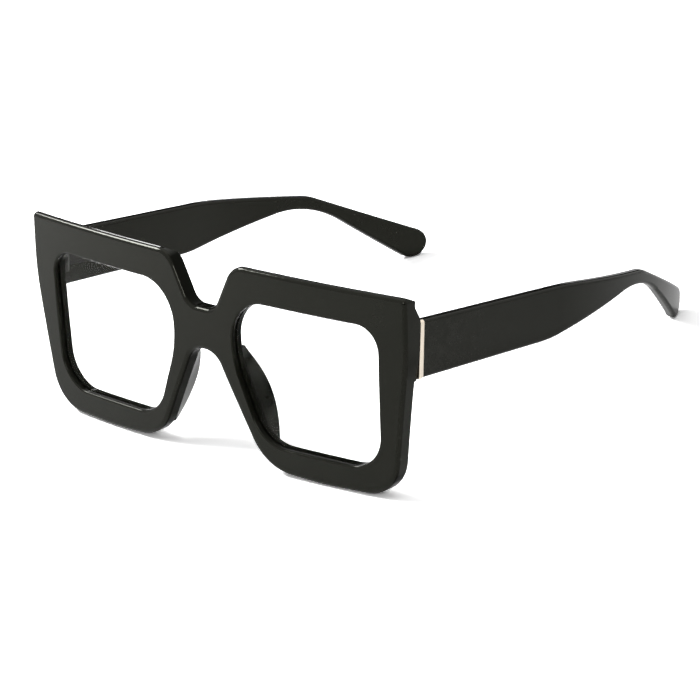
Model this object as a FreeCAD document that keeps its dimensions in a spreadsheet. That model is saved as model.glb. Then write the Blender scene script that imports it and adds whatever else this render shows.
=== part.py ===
import FreeCAD, Part
import math
import os

import Sketcher
from FreeCAD import Placement, Rotation, Vector

DOC = FreeCAD.newDocument("oversized_glasses")
SHEET = DOC.addObject("Spreadsheet::Sheet", "sizes")

# Frame: +Z up, X across with the middle plane at x = 0, the front faces -Y and the temples run to +Y.
# The glasses stand on both rims and both temple tips. Lengths are in mm, angles in degrees.
SIZES = [
    # front, seen from the front: distances from the middle plane and heights above the lowest rim edge
    ("front_half_width", 75.2),
    ("front_height", 59.75),
    ("front_thickness", 4.7),
    ("face_wrap_radius", 586.0),
    ("face_drop_radius", 730.0),
    ("notch_depth", 14.75),
    ("notch_floor_half", 4.9),
    ("notch_mouth_half", 12.65),
    ("notch_floor_radius", 5.0),
    ("notch_mouth_radius", 7.5),
    ("brow_corner_radius", 1.6),
    ("side_knee_drop", 18.05),
    ("side_knee_inset", 0.1),
    ("side_knee_radius", 70.0),
    ("side_foot_inset", 6.5),
    ("side_foot_rise", 0.2),
    ("side_foot_radius", 12.5),
    ("chin_place", 0.43038),
    ("chin_dip", 0.6),
    ("chin_spread", 0.124433),
    ("nasal_foot_reach", 21.3),
    ("nasal_foot_rise", 0.4),
    ("nasal_foot_radius", 16.0),
    ("saddle_half", 4.6),
    ("bridge_height", 12.7),
    ("saddle_run", 4.23663),
    ("face_edge_radius", 1.2),
    ("brow_flat", 0.4),
    ("brow_bevel_slope", 30.0),
    ("back_edge_radius", 0.6),
    # lens opening in each rim
    ("brow_band", 9.75),
    ("chin_band", 7.6),
    ("side_band_top", 9.4),
    ("side_band_low", 10.7),
    ("opening_nasal_reach", 12.1),
    ("opening_knee_drop", 18.8),
    ("opening_nasal_foot", 21.6),
    ("opening_brow_nasal_radius", 12.5),
    ("opening_brow_side_radius", 7.5),
    ("opening_chin_side_radius", 11.0),
    ("opening_chin_nasal_radius", 12.5),
    ("opening_knee_run", 5.81154),
    ("opening_edge_radius", 0.6),
    ("opening_back_radius", 0.7),
    # lens
    ("lens_thickness", 1.2),
    ("lens_set_back", 1.9),
    ("groove_depth", 0.8),
    # end piece and hinge
    ("endpiece_depth", 5.7),
    ("endpiece_top", 8.2),
    ("endpiece_under", 9.6),
    ("endpiece_width", 7.5),
    ("endpiece_root", 3.6),
    ("endpiece_shoulder", 5.5),
    ("endpiece_shoulder_radius", 3.0),
    ("hinge_inset", 5.1),
    ("hinge_drop", 15.4),
    ("axis_setback", 2.0),
    ("front_leaf_thickness", 1.0),
    ("front_leaf_half_height", 4.8),
    ("front_leaf_inner_reach", 2.6),
    ("front_leaf_outer_reach", 3.4),
    ("knuckle_radius", 1.3),
    ("middle_knuckle_half", 1.2),
    ("knuckle_gap", 0.1),
    ("outer_knuckle_height", 2.5),
    ("screw_radius", 0.6),
    ("screw_clearance", 0.05),
    ("screw_head_radius", 1.15),
    ("screw_head_height", 0.8),
    ("screw_slot_width", 0.35),
    ("screw_slot_depth", 0.4),
    ("rivet_radius", 0.55),
    ("rivet_grip", 1.6),
    ("front_rivet_offset", 2.5),
    ("front_rivet_half_pitch", 3.4),
    # temple: reach is the distance behind the hinge axis along the shaft, heights are from the axis middle
    ("temple_slope", 10.92),
    ("temple_inner_gap", 1.7),
    ("temple_thickness", 3.3),
    ("trim_gap", 0.2),
    ("trim_thickness", 1.6),
    ("trim_proud", 0.1),
    ("trim_edge_radius", 0.35),
    ("temple_top", 7.8),
    ("temple_under", 9.1),
    ("taper_reach", 62.4),
    ("taper_radius", 138.0),
    ("bend_reach", 102.5),
    ("bend_top", 4.4),
    ("bend_radius", 13.0),
    ("tip_reach", 143.0),
    ("tip_top_drop", 11.2),
    ("tip_radius", 4.5),
    ("tip_foot_reach", 137.6),
    ("tip_foot_drop", 20.2),
    ("bend_under_reach", 102.6),
    ("bend_under", 2.6),
    ("bend_under_radius", 32.0),
    ("knee_reach", 54.4),
    ("knee_under", 7.5),
    ("knee_radius", 44.0),
    ("toe_reach", 59.4),
    ("toe_radius", 162.6),
    ("toe_sweep", 34.0),
    ("temple_edge_radius", 1.0),
    ("temple_leaf_thickness", 0.9),
    ("temple_leaf_start", 0.2),
    ("temple_leaf_length", 13.8),
    ("temple_leaf_half_height", 3.0),
    ("temple_rivet_first", 5.0),
    ("temple_rivet_pitch", 6.0),
    ("core_wire_radius", 0.7),
    ("core_wire_start", 16.0),
    ("core_wire_end", 130.0),
    ("core_wire_bend_radius", 16.0),
    ("core_wire_bend_lead", 2.0),
    # nose pad fin behind the nasal side of each rim
    ("pad_top_rise", 1.7),
    ("pad_bottom", 5.0),
    ("pad_depth", 6.9),
    ("pad_ridge_radius", 0.9),
    ("pad_ridge_inset", 1.6),
    ("pad_ridge_turn", 150.0),
    ("pad_glue_gap", 0.02),
    ("pad_side_inset", 0.35),
    # place of the front in the standing pose
    ("front_lean", 5.05),
    ("front_place_y", -76.8),
    ("front_place_z", 1.05),
    ("cut_margin", 7.0),
]

# Nose pad from its top to its bottom: share of the way down, then share of its full depth.
PAD_PROFILE = [(0.0, 0.25), (0.17, 0.68), (0.34, 0.93), (0.5, 1.0), (0.66, 0.91), (0.83, 0.67), (1.0, 0.3)]


class Size:
    """A length or angle with its value now and the text that binds it to the sheet."""

    def __init__(self, value, text):
        self.value = float(value)
        self.text = text

    def __add__(self, other):
        other = as_size(other)
        return Size(self.value + other.value, f"({self.text} + {other.text})")

    def __sub__(self, other):
        other = as_size(other)
        return Size(self.value - other.value, f"({self.text} - {other.text})")

    def __mul__(self, other):
        other = as_size(other)
        return Size(self.value * other.value, f"({self.text} * {other.text})")

    def __truediv__(self, other):
        other = as_size(other)
        return Size(self.value / other.value, f"({self.text} / {other.text})")

    def __neg__(self):
        return Size(-self.value, f"(0 - {self.text})")


def as_size(number):
    if isinstance(number, Size):
        return number
    return Size(number, repr(float(number)))


def fill_sheet():
    """Write each driving size as a plain number beside its name."""
    for row, (name, value) in enumerate(SIZES, start=1):
        SHEET.set(f"A{row}", name)
        SHEET.set(f"B{row}", str(value))
        SHEET.setAlias(f"B{row}", name)
    DOC.recompute()


def size(name):
    return Size(float(SHEET.get(name)), f"sizes.{name}")


def num(name):
    return float(SHEET.get(name))


def tan_of(angle):
    return Size(math.tan(math.radians(angle.value)), f"tan({angle.text} * 1 deg)")


def sin_of(angle):
    return Size(math.sin(math.radians(angle.value)), f"sin({angle.text} * 1 deg)")


def cos_of(angle):
    return Size(math.cos(math.radians(angle.value)), f"cos({angle.text} * 1 deg)")


def arcsin_of(share):
    return Size(math.degrees(math.asin(share.value)), f"asin({share.text})")


def root_of(number):
    return Size(math.sqrt(number.value), f"sqrt({number.text})")


def arc_radius(run, before, corner, after):
    """Radius of the tangent arc that takes up a run of the straight edges on both sides of a corner."""
    in_x, in_y = corner[0] - before[0], corner[1] - before[1]
    out_x, out_y = after[0] - corner[0], after[1] - corner[1]
    spans = root_of((in_x * in_x + in_y * in_y) * (out_x * out_x + out_y * out_y))
    lean = (in_x * out_x + in_y * out_y) / spans
    return run * root_of((lean + 1) / (-lean + 1))


def bind(thing, prop, length):
    """Set a feature's length now and tie it to the sheet."""
    setattr(thing, prop, length.value)
    thing.setExpression(prop, length.text)


def new_body(name):
    body = DOC.addObject("PartDesign::Body", name)
    body.Label = name
    return body


def new_sketch(body, name, role, place=None):
    """A sketch on one of the body's own origin planes, with an offset in the plane's own axes."""
    sketch = body.newObject("Sketcher::SketchObject", name)
    support = [item for item in body.Origin.OriginFeatures if item.Role == role][0]
    sketch.AttachmentSupport = [(support, "")]
    sketch.MapMode = "FlatFace"
    sketch.AttachmentOffset = place or Placement()
    return sketch


def rounded_outline(sketch, corners, offset=None):
    """Draw a closed outline of straight runs joined by tangent arcs.

    Each corner is (x, y, radius), with a radius of None where it is sharp. An offset moves every run
    outward by the same distance and widens its convex arcs to match.
    """
    count = len(corners)
    marks = [Vector(c[0].value, c[1].value, 0) for c in corners]
    nexts = [marks[(i + 1) % count] for i in range(count)]
    area = sum(p.x * q.y - q.x * p.y for p, q in zip(marks, nexts))
    outward = 1 if area > 0 else -1
    shift = offset.value if offset else 0.0
    heads = []
    ways = []
    for p, q in zip(marks, nexts):
        way = (q - p).normalize()
        ways.append(way)
        heads.append(p + Vector(way.y, -way.x, 0) * (outward * shift))
    starts = [None] * count
    ends = [None] * count
    arcs = []
    for i in range(count):
        before, after = ways[i - 1], ways[i]
        cross = before.x * after.y - before.y * after.x
        gap = heads[i] - heads[i - 1]
        along = (gap.x * after.y - gap.y * after.x) / cross
        tip = heads[i - 1] + before * along
        if corners[i][2] is None:
            starts[i] = tip
            ends[i - 1] = tip
            arcs.append(None)
            continue
        convex = cross * outward > 0
        radius = corners[i][2]
        if offset:
            radius = radius + offset if convex else radius - offset
        turn = math.atan2(abs(cross), before.dot(after))
        run = radius.value * math.tan(turn / 2)
        ends[i - 1] = tip - before * run
        starts[i] = tip + after * run
        left = 1 if cross > 0 else -1
        centre = ends[i - 1] + Vector(-before.y, before.x, 0) * (left * radius.value)
        angles = [math.atan2(p.y - centre.y, p.x - centre.x) for p in (ends[i - 1], starts[i])]
        if left < 0:
            angles.reverse()
        circle = Part.Circle(centre, Vector(0, 0, 1), radius.value)
        arcs.append((Part.ArcOfCircle(circle, angles[0], angles[1]), left, radius))
    lines = [sketch.addGeometry(Part.LineSegment(starts[i], ends[i]), False) for i in range(count)]
    bends = [sketch.addGeometry(a[0], False) if a else None for a in arcs]
    points = [sketch.addGeometry(Part.Point(p), True) for p in marks]
    rules = []
    bound = []
    for i in range(count):
        if bends[i] is None:
            rules.append(Sketcher.Constraint("Coincident", lines[i - 1], 2, lines[i], 1))
        else:
            first, second = (1, 2) if arcs[i][1] > 0 else (2, 1)
            rules.append(Sketcher.Constraint("Tangent", lines[i - 1], 2, bends[i], first))
            rules.append(Sketcher.Constraint("Tangent", bends[i], second, lines[i], 1))
            bound.append((len(rules), arcs[i][2]))
            rules.append(Sketcher.Constraint("Radius", bends[i], arcs[i][2].value))
        for mark in (points[i], points[(i + 1) % count]):
            if offset:
                bound.append((len(rules), offset))
                rules.append(Sketcher.Constraint("Distance", mark, 1, lines[i], offset.value))
            else:
                rules.append(Sketcher.Constraint("PointOnObject", mark, 1, lines[i]))
        bound.append((len(rules), corners[i][0]))
        rules.append(Sketcher.Constraint("DistanceX", points[i], 1, corners[i][0].value))
        bound.append((len(rules), corners[i][1]))
        rules.append(Sketcher.Constraint("DistanceY", points[i], 1, corners[i][1].value))
    base = sketch.ConstraintCount
    sketch.addConstraint(rules)
    for index, length in bound:
        sketch.setExpression(f"Constraints[{base + index}]", length.text)


def draw_circle(sketch, across, level, radius):
    """A circle at a point of the sketch, tied to the sheet."""
    ring = Part.Circle(Vector(across.value, level.value, 0), Vector(0, 0, 1), radius.value)
    index = sketch.addGeometry(ring, False)
    base = sketch.ConstraintCount
    sketch.addConstraint([
        Sketcher.Constraint("DistanceX", index, 3, across.value),
        Sketcher.Constraint("DistanceY", index, 3, level.value),
        Sketcher.Constraint("Radius", index, radius.value),
    ])
    for step, length in enumerate((across, level, radius)):
        sketch.setExpression(f"Constraints[{base + step}]", length.text)


def rectangle(left, right, low, high, radius=None):
    return [(left, low, radius), (right, low, radius), (right, high, radius), (left, high, radius)]


def pad(body, name, sketch, length, both=False, reverse=False):
    feature = body.newObject("PartDesign::Pad", name)
    feature.Profile = sketch
    feature.SideType = "Symmetric" if both else "One side"
    feature.Reversed = reverse
    bind(feature, "Length", length)
    DOC.recompute()
    return feature


def pocket_through(body, name, sketch, both=False, reverse=False):
    """Cut a sketch right through the body, and make sure that the cut took something away."""
    before = body.Shape.Volume
    feature = body.newObject("PartDesign::Pocket", name)
    feature.Profile = sketch
    feature.Type = "ThroughAll"
    feature.SideType = "Symmetric" if both else "One side"
    feature.Reversed = reverse
    DOC.recompute()
    if body.Shape.Volume > before - 1.0:
        raise RuntimeError(f"{name} cut nothing")
    return feature


def pocket(body, name, sketch, length, both=False, reverse=False):
    """Cut a sketch to a depth, or to both sides of its plane, and make sure that it took something away."""
    before = body.Shape.Volume
    feature = body.newObject("PartDesign::Pocket", name)
    feature.Profile = sketch
    feature.SideType = "Symmetric" if both else "One side"
    feature.Reversed = reverse
    bind(feature, "Length", length)
    DOC.recompute()
    if body.Shape.Volume > before - 1.0:
        raise RuntimeError(f"{name} cut nothing")
    return feature


def fillet(body, name, chosen, radius):
    """Round the edges that the chosen test picks from the body as it is."""
    base = body.Tip
    names = [f"Edge{i + 1}" for i, edge in enumerate(base.Shape.Edges) if chosen(base.Shape, edge)]
    feature = body.newObject("PartDesign::Fillet", name)
    feature.Base = (base, names)
    bind(feature, "Radius", radius)
    DOC.recompute()
    return feature


def edge_middle(edge):
    return edge.valueAt((edge.FirstParameter + edge.LastParameter) / 2)


def normals_beside(shape, edge):
    """Normals of the faces that meet at an edge, taken at the edge's middle."""
    spot = edge_middle(edge)
    faces = [f for f in shape.Faces if any(e.isSame(edge) for e in f.Edges)]
    return [f.normalAt(*f.Surface.parameter(spot)) for f in faces]


def mirrored(source, name):
    twin = DOC.addObject("Part::Mirroring", name)
    twin.Source = source
    twin.Base = Vector(0, 0, 0)
    twin.Normal = Vector(1, 0, 0)
    twin.Label = name
    return twin


def box(name, low, high):
    """A block between two corners, each corner three lengths."""
    block = DOC.addObject("Part::Box", name)
    for prop, start, end in zip(("Length", "Width", "Height"), low, high):
        bind(block, prop, end - start)
    for axis, start in zip("xyz", low):
        block.setExpression(f"Placement.Base.{axis}", start.text)
    return block


def cylinder(name, radius, height, start, turn=None):
    """A round bar that starts at a point and runs along Z, or along the turned Z."""
    bar = DOC.addObject("Part::Cylinder", name)
    bind(bar, "Radius", radius)
    bind(bar, "Height", height)
    bar.Placement = Placement(Vector(), turn or Rotation())
    for axis, place in zip("xyz", start):
        bar.setExpression(f"Placement.Base.{axis}", place.text)
    return bar


def fuse(name, shapes):
    whole = DOC.addObject("Part::MultiFuse", name)
    whole.Shapes = shapes
    return whole


def cut(name, base, tool):
    rest = DOC.addObject("Part::Cut", name)
    rest.Base = base
    rest.Tool = tool
    rest.Label = name
    return rest


def group(name, shapes):
    whole = DOC.addObject("Part::Compound", name)
    whole.Links = shapes
    whole.Label = name
    return whole


def opening_top():
    return size("front_height") - size("brow_band")


def opening_knee():
    """Height where the opening's nasal side turns outward."""
    return opening_top() - size("opening_knee_drop")


def saddle_level():
    """Height of the bridge's underside."""
    return size("front_height") - size("notch_depth") - size("bridge_height")


def opening_corners():
    """The lens opening of the right rim, in the plane of that rim."""
    top = opening_top()
    low = size("chin_band")
    half = size("front_half_width")
    nasal = size("opening_nasal_reach")
    foot = size("opening_nasal_foot")
    knee = opening_knee()
    knee_radius = arc_radius(size("opening_knee_run"), (foot, low), (nasal, knee), (nasal, top))
    return [
        (nasal, top, size("opening_brow_nasal_radius")),
        (half - size("side_band_top"), top, size("opening_brow_side_radius")),
        (half - size("side_band_low"), low, size("opening_chin_side_radius")),
        (foot, low, size("opening_chin_nasal_radius")),
        (nasal, knee, knee_radius),
    ]


def front_corners():
    """The outline of the whole front, right half and then its mirror image."""
    half = size("front_half_width")
    top = size("front_height")
    floor = top - size("notch_depth")
    side_foot = (half - size("side_foot_inset"), size("side_foot_rise"))
    nasal_foot = (size("nasal_foot_reach"), size("nasal_foot_rise"))
    breadth = side_foot[0] - nasal_foot[0]
    chin = (nasal_foot[0] + breadth * size("chin_place"), -size("chin_dip"))
    saddle = (size("saddle_half"), saddle_level())
    opposite = (-saddle[0], saddle[1])
    right = [
        (size("notch_floor_half"), floor, size("notch_floor_radius")),
        (size("notch_mouth_half"), top, size("notch_mouth_radius")),
        (half, top, size("brow_corner_radius")),
        (half - size("side_knee_inset"), top - size("side_knee_drop"), size("side_knee_radius")),
        (*side_foot, size("side_foot_radius")),
        (*chin, arc_radius(breadth * size("chin_spread"), side_foot, chin, nasal_foot)),
        (*nasal_foot, size("nasal_foot_radius")),
        (*saddle, arc_radius(size("saddle_run"), nasal_foot, saddle, opposite)),
    ]
    left = [(-x, y, r) for x, y, r in reversed(right)]
    return right + left


def front_frame_place():
    turn = Rotation(Vector(1, 0, 0), -num("front_lean"))
    return Placement(Vector(0, num("front_place_y"), num("front_place_z")), turn)


def face_depth(across, level):
    """How far the domed face of the front lies behind its foremost point."""
    wrap = num("face_wrap_radius")
    drop = num("face_drop_radius")
    rise = level - num("front_height") / 2
    fall = drop - math.sqrt(drop ** 2 - rise ** 2)
    return wrap - math.sqrt((wrap - fall) ** 2 - across ** 2)


def lens_centre():
    across = (num("opening_nasal_reach") + num("front_half_width") - num("side_band_top")) / 2
    return across, (num("chin_band") + num("front_height") - num("brow_band")) / 2


def wrap_angle():
    """Turn of each lens about the upright, so that it lies along the face at its own centre."""
    return math.degrees(math.asin(lens_centre()[0] / num("face_wrap_radius")))


def wing_place(side):
    """Axes of one rim in the front's own axes: X along the rim and Y back through the lens."""
    across, level = lens_centre()
    start = face_depth(across, level) - across * math.tan(math.radians(wrap_angle()))
    return Placement(Vector(0, start, 0), Rotation(Vector(0, 0, 1), side * wrap_angle()))


def rim_plane(side, depth):
    """Offset of a sketch on the front's XZ plane that lays it along one rim at a depth behind its face."""
    spot = wing_place(side).multVec(Vector(0, depth, 0))
    return Placement(Vector(spot.x, spot.z, -spot.y), Rotation(Vector(0, 1, 0), side * wrap_angle()))


def joint_point():
    """Middle of the joint between end piece and temple, in the front's own axes, on the right."""
    across = num("front_half_width") - num("hinge_inset")
    level = num("front_height") - num("hinge_drop")
    return Vector(across, face_depth(num("front_half_width"), level) + num("endpiece_depth"), level)


def joint_tilt():
    return num("temple_slope") - num("front_lean")


def temple_place():
    """The right temple's axes: origin on the hinge axis, Z along it and Y back along the shaft."""
    turn = Rotation(Vector(1, 0, 0), -num("temple_slope"))
    joint = Placement(front_frame_place().multVec(joint_point()), turn)
    return joint.multiply(Placement(Vector(0, num("axis_setback"), 0), Rotation()))


def draw_section(sketch, low, high):
    """Upright section of the front: two arcs about one centre, measured from the wrap axis."""
    drop = size("face_drop_radius")
    inner = drop - size("front_thickness")
    hub_x = drop - size("face_wrap_radius")
    hub_y = size("front_height") / 2
    hub = Vector(hub_x.value, hub_y.value, 0)
    ends = []
    arcs = []
    for radius in (drop, inner):
        angles = [math.pi - math.asin((level.value - hub.y) / radius.value) for level in (high, low)]
        spots = [hub + Vector(math.cos(a), math.sin(a), 0) * radius.value for a in angles]
        ends.append(spots)
        arc = Part.ArcOfCircle(Part.Circle(hub, Vector(0, 0, 1), radius.value), angles[0], angles[1])
        arcs.append(sketch.addGeometry(arc, False))
    top = sketch.addGeometry(Part.LineSegment(ends[0][0], ends[1][0]), False)
    bottom = sketch.addGeometry(Part.LineSegment(ends[0][1], ends[1][1]), False)
    sketch.addConstraint([
        Sketcher.Constraint("Coincident", arcs[0], 1, top, 1),
        Sketcher.Constraint("Coincident", arcs[1], 1, top, 2),
        Sketcher.Constraint("Coincident", arcs[0], 2, bottom, 1),
        Sketcher.Constraint("Coincident", arcs[1], 2, bottom, 2),
        Sketcher.Constraint("Horizontal", top),
        Sketcher.Constraint("Horizontal", bottom),
        Sketcher.Constraint("Coincident", arcs[0], 3, arcs[1], 3),
        Sketcher.Constraint("DistanceX", arcs[0], 3, hub_x.value),
        Sketcher.Constraint("DistanceY", arcs[0], 3, hub_y.value),
        Sketcher.Constraint("Radius", arcs[0], drop.value),
        Sketcher.Constraint("Radius", arcs[1], inner.value),
        Sketcher.Constraint("DistanceY", top, 1, high.value),
        Sketcher.Constraint("DistanceY", bottom, 1, low.value),
    ])
    for index, length in zip(range(7, 13), (hub_x, hub_y, drop, inner, high, low)):
        sketch.setExpression(f"Constraints[{index}]", length.text)


def draw_brow_bevel(sketch):
    """Section of the slope that thins the brow's top edge toward the back, measured from the wrap axis."""
    top = size("front_height")
    drop = size("face_drop_radius")
    half = top / 2
    fall = drop - root_of(drop * drop - half * half)
    start = fall - size("face_wrap_radius") + size("face_edge_radius") + size("brow_flat")
    run = size("front_thickness")
    high = top + size("cut_margin")
    rounded_outline(sketch, [
        (start, top, None),
        (start + run, top - run * tan_of(size("brow_bevel_slope")), None),
        (start + run, high, None),
        (start, high, None),
    ])


def in_opening(across, level, spare):
    """True within the corner polygon of a lens opening, widened by a spare distance."""
    corners = [Vector(x.value, y.value, 0) for x, y, radius in opening_corners()]
    spot = Vector(abs(across), level, 0)
    for start, end in zip(corners, corners[1:] + corners[:1]):
        way = (end - start).normalize()
        if (spot - start).dot(Vector(way.y, -way.x, 0)) < -spare:
            return False
    return True


def make_front():
    """The front: a domed band cut to its outline, rounded, and let in for lenses, hinge leaves and rivets."""
    body = new_body("front_frame")
    margin = size("cut_margin")
    half = size("front_half_width")
    reach = half + margin
    wide = reach + margin
    high = size("front_height") + margin
    wrap_axis = Placement(Vector(num("face_wrap_radius"), 0, 0), Rotation())
    section = new_sketch(body, "front_section", "YZ_Plane", wrap_axis)
    draw_section(section, -margin, high)
    turn = body.newObject("PartDesign::Revolution", "front_band")
    turn.Profile = section
    turn.ReferenceAxis = (section, ["V_Axis"])
    turn.Midplane = True
    sweep = arcsin_of(reach / size("face_wrap_radius")) * 2
    bind(turn, "Angle", sweep)
    DOC.recompute()

    before = Placement(Vector(0, 0, margin.value), Rotation())
    outline = new_sketch(body, "front_outline", "XZ_Plane", before)
    rounded_outline(outline, rectangle(-wide, wide, -margin - margin, high + margin))
    rounded_outline(outline, front_corners())
    pocket_through(body, "front_trim", outline)

    for side, word in ((1, "right"), (-1, "left")):
        hole = new_sketch(body, f"opening_{word}_plan", "XZ_Plane", rim_plane(side, -margin.value))
        rounded_outline(hole, [(x if side > 0 else -x, y, r) for x, y, r in opening_corners()])
        pocket_through(body, f"opening_{word}", hole)

    def picks(ahead, inside):
        """Edges where the face, or the back, meets the walls of the outline or of the openings."""
        def chosen(shape, edge):
            leans = [abs(normal.y) for normal in normals_beside(shape, edge)]
            if len(leans) != 2 or max(leans) < 0.9 or min(leans) > 0.2:
                return False
            spot = edge_middle(edge)
            depth = spot.y - face_depth(spot.x, spot.z)
            is_ahead = depth < num("front_thickness") / 2
            return is_ahead == ahead and in_opening(spot.x, spot.z, num("groove_depth")) == inside
        return chosen

    fillet(body, "face_edges", picks(True, False), size("face_edge_radius"))
    fillet(body, "opening_edges", picks(True, True), size("opening_edge_radius"))
    fillet(body, "back_edges", picks(False, False), size("back_edge_radius"))
    fillet(body, "opening_back_edges", picks(False, True), size("opening_back_radius"))

    bevel = new_sketch(body, "brow_bevel_section", "YZ_Plane", wrap_axis)
    draw_brow_bevel(bevel)
    shave = body.newObject("PartDesign::Groove", "brow_bevel")
    shave.Profile = bevel
    shave.ReferenceAxis = (bevel, ["V_Axis"])
    shave.Midplane = True
    bind(shave, "Angle", sweep)
    DOC.recompute()

    for side, word in ((1, "right"), (-1, "left")):
        middle = rim_plane(side, num("lens_set_back") + num("lens_thickness") / 2)
        groove = new_sketch(body, f"groove_{word}_plan", "XZ_Plane", middle)
        corners = [(x if side > 0 else -x, y, r) for x, y, r in opening_corners()]
        rounded_outline(groove, corners, size("groove_depth"))
        pocket(body, f"groove_{word}", groove, size("lens_thickness"), both=True)

    joint = joint_point()
    tilt = Rotation(Vector(1, 0, 0), -joint_tilt())
    joint_plane = Placement(Vector(0, joint.z, -joint.y), tilt)
    zero = as_size(0)
    root = -size("endpiece_root")
    top = size("endpiece_top")
    under = -size("endpiece_under")
    inner = half - size("endpiece_width")
    lean = Rotation(Vector(0, 0, 1), -joint_tilt())
    for side, word in ((1, "right"), (-1, "left")):
        place = Placement(Vector(joint.y, joint.z, side * inner.value), lean)
        profile = new_sketch(body, f"endpiece_{word}_profile", "YZ_Plane", place)
        rounded_outline(profile, [
            (zero, under, None),
            (zero, top, size("endpiece_shoulder_radius")),
            (root, top + size("endpiece_shoulder"), None),
            (root, under, None),
        ])
        pad(body, f"endpiece_{word}", profile, reach - inner, reverse=side < 0)
    flush = new_sketch(body, "endpiece_outline", "XZ_Plane", before)
    rounded_outline(flush, rectangle(-wide, wide, -margin - margin, high + margin))
    rounded_outline(flush, front_corners())
    pocket_through(body, "endpiece_trim", flush)

    recess = new_sketch(body, "leaf_recess_plan", "XZ_Plane", joint_plane)
    holes = new_sketch(body, "rivet_hole_plan", "XZ_Plane", joint_plane)
    axis = half - size("hinge_inset")
    leaf_tall = size("front_leaf_half_height")
    leaf_low = axis - size("front_leaf_inner_reach")
    leaf_high = axis + size("front_leaf_outer_reach")
    rivet = axis + size("front_rivet_offset")
    rounded_outline(recess, rectangle(leaf_low, leaf_high, -leaf_tall, leaf_tall))
    rounded_outline(recess, rectangle(-leaf_high, -leaf_low, -leaf_tall, leaf_tall))
    for across in (rivet, -rivet):
        for way in (1, -1):
            draw_circle(holes, across, size("front_rivet_half_pitch") * way, size("rivet_radius"))
    pocket(body, "leaf_recess", recess, size("front_leaf_thickness"), reverse=True)
    pocket(body, "rivet_holes", holes, size("front_leaf_thickness") + size("rivet_grip"), reverse=True)
    body.Placement = front_frame_place()
    DOC.recompute()
    return body


def make_lens(side, name):
    """A flat clear lens whose edge sits in the rim's groove."""
    body = new_body(name)
    corners = [(x if side > 0 else -x, y, r) for x, y, r in opening_corners()]
    middle = Placement(Vector(0, 0, -num("lens_set_back") - num("lens_thickness") / 2), Rotation())
    plan = new_sketch(body, f"{name}_plan", "XZ_Plane", middle)
    rounded_outline(plan, corners, size("groove_depth"))
    pad(body, f"{name}_plate", plan, size("lens_thickness"), both=True)
    body.Placement = front_frame_place().multiply(wing_place(side))
    DOC.recompute()
    return body


def make_front_leaf():
    """Recessed plate with the two outer knuckles, in the right temple's axes."""
    zero = as_size(0)
    seat = -size("axis_setback")
    radius = size("knuckle_radius")
    tall = size("front_leaf_half_height")
    start = size("middle_knuckle_half") + size("knuckle_gap")
    stop = start + size("outer_knuckle_height")
    back = seat - size("front_leaf_thickness")
    low_corner = (-size("front_leaf_inner_reach"), back, -tall)
    plate = box("front_leaf_plate", low_corner, (size("front_leaf_outer_reach"), seat, tall))
    pieces = [plate]
    for word, low, high in (("upper", start, stop), ("lower", -stop, -start)):
        pieces.append(box(f"front_web_{word}", (-radius, seat - size("front_leaf_thickness") / 2, low),
                          (radius, zero, high)))
        pieces.append(cylinder(f"front_knuckle_{word}", radius, high - low, (zero, zero, low)))
    solid = fuse("front_leaf_solid", pieces)
    bore = cylinder("front_leaf_bore", size("screw_radius"), stop + stop, (zero, zero, -stop))
    holes = [front_rivet("front_leaf_hole_upper", 1), front_rivet("front_leaf_hole_lower", -1)]
    leaf = cut("front_hinge_leaf_right", solid, fuse("front_leaf_holes", [bore] + holes))
    leaf.Placement = temple_place()
    return leaf


def front_rivet(name, way):
    """A pin from the leaf's face down into the end piece."""
    length = size("front_leaf_thickness") + size("rivet_grip")
    forward = Rotation(Vector(1, 0, 0), 90)
    level = size("front_rivet_half_pitch") * way
    return cylinder(name, size("rivet_radius"), length,
                    (size("front_rivet_offset"), -size("axis_setback"), level), forward)


def make_front_rivets():
    pair = [front_rivet("front_rivet_upper", 1), front_rivet("front_rivet_lower", -1)]
    pins = group("front_hinge_rivets_right", pair)
    pins.Placement = temple_place()
    return pins


def make_screw():
    """Pivot screw with a slotted head that rests on the upper knuckle."""
    zero = as_size(0)
    stop = size("middle_knuckle_half") + size("knuckle_gap") + size("outer_knuckle_height")
    shank = cylinder("screw_shank", size("screw_radius"), stop + stop, (zero, zero, -stop))
    head = cylinder("screw_head", size("screw_head_radius"), size("screw_head_height"), (zero, zero, stop))
    top = stop + size("screw_head_height")
    wide = size("screw_head_radius") * 2
    slot_half = size("screw_slot_width") / 2
    slot_floor = top - size("screw_slot_depth")
    slot = box("screw_slot", (-wide, -slot_half, slot_floor), (wide, slot_half, top + wide))
    screw = cut("hinge_screw_right", fuse("screw_solid", [shank, head]), slot)
    screw.Placement = temple_place()
    return screw


def temple_rivet(name, order):
    length = size("temple_leaf_thickness") + size("rivet_grip")
    outward = Rotation(Vector(0, 1, 0), 90)
    reach = size("temple_rivet_first") + size("temple_rivet_pitch") * order
    start = (size("temple_inner_gap"), reach, as_size(0))
    return cylinder(name, size("rivet_radius"), length, start, outward)


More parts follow.
